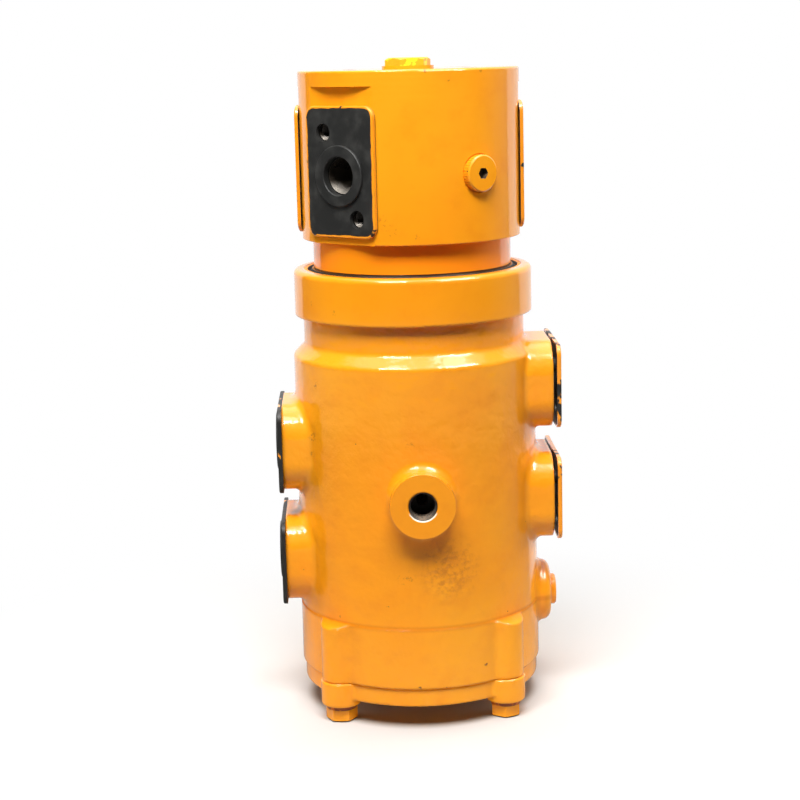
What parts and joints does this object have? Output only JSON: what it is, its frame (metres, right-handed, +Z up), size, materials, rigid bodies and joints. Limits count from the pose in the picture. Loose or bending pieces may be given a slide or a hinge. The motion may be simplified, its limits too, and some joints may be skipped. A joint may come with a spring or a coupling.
{
  "type": "hydraulic rotary union",
  "caption": "Hydraulic rotary union: a round head with flange ports turns on a cast housing with side flange ports, a front drain port and a bolted bottom cover.",
  "frame": {"origin": "on the axis of rotation, at the flat bottom face of the bottom cover", "axes": "+Z up along the axis of rotation towards the head; -Y towards the front drain boss; +X towards the side with the small pilot boss"},
  "size_m": [0.2015, 0.185, 0.4558],
  "materials": {
    "orange_paint": "glossy sprayed enamel over cast iron and turned steel",
    "black_rubber": "satin black rubber",
    "yellow_plastic": "lemon yellow moulded plastic",
    "steel": "bare machined steel",
    "bronze": "sintered bronze",
    "sliding_ring": "filled low-friction plastic"
  },
  "bodies": {
    "housing_side": {"housing": "orange_paint", "bottom_cover": "orange_paint", "cover_o_ring": "black_rubber", "cover_bolts": "orange_paint", "cover_spring_washers": "orange_paint", "dust_seal": "black_rubber", "upper_bush": "bronze", "lower_bush": "bronze", "upper_thrust_washer": "bronze", "slipper_seals": "sliding_ring", "seal_energisers": "black_rubber", "pilot_plug": "orange_paint", "pilot_plug_washer": "orange_paint", "port_guard_left_lower": "black_rubber", "port_guard_right_lower": "black_rubber", "port_guard_left_upper": "black_rubber", "port_guard_right_upper": "black_rubber"},
    "turning_side": {"spindle": "orange_paint", "retainer_plate": "steel", "retainer_bolts": "steel", "lower_thrust_washer": "bronze", "channel_plugs": "steel", "head_plug": "orange_paint", "head_plug_o_ring": "black_rubber", "top_plug": "yellow_plastic", "top_plug_washer": "orange_paint", "port_guard_head_front": "black_rubber", "port_guard_head_right": "black_rubber", "port_guard_head_rear": "black_rubber", "port_guard_head_left": "black_rubber"}
  },
  "joints": [
    {"name": "spindle_spin", "type": "hinge", "parent": "housing_side", "child": "turning_side", "pos_m": [0, 0, 0], "axis": [0, 0, 1], "continuous": true}
  ]
}
